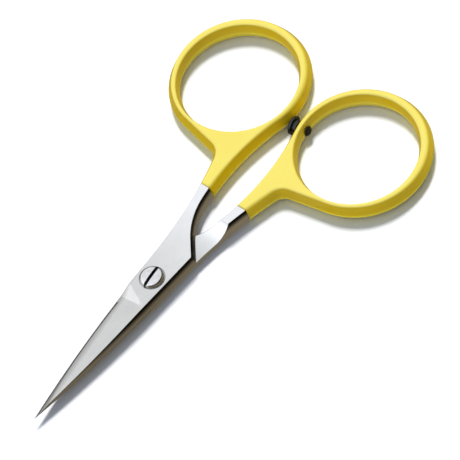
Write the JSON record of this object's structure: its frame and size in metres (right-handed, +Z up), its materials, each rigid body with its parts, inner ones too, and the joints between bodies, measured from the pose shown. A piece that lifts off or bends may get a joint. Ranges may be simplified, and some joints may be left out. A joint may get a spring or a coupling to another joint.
{
  "type": "fine-point scissors",
  "caption": "Fine-point craft scissors with tapering ground blades, slim shanks, large enamelled finger rings, a slotted pivot screw and a rubber bumper.",
  "frame": {"origin": "centre of the closed scissors' footprint, on the surface they lie on", "axes": "+Z up from the table, +Y from the points towards the finger rings, +X towards the lower half's ring"},
  "size_m": [0.063, 0.1008, 0.0053],
  "materials": {
    "blade_steel": "satin ground faces, polished walls",
    "ring_enamel": "glossy yellow enamel",
    "screw_steel": "turned, satin",
    "bumper_rubber": "matte black rubber"
  },
  "bodies": {
    "lower_half": {"lower_blade": "blade_steel", "lower_handle_coating": "ring_enamel", "bumper": "bumper_rubber"},
    "upper_half": {"upper_blade": "blade_steel", "upper_handle_coating": "ring_enamel"},
    "screw": {"pivot_screw": "screw_steel"}
  },
  "joints": [
    {"name": "blade_pivot", "type": "hinge", "parent": "lower_half", "child": "upper_half", "pos_m": [0, -0.01246, 0.00222], "axis": [0, 0, 1], "range_deg": [0, 90]},
    {"name": "screw_turn", "type": "hinge", "parent": "lower_half", "child": "screw", "pos_m": [0, -0.01246, 0.00222], "axis": [0, 0, 1], "range_deg": [-45, 45]}
  ]
}
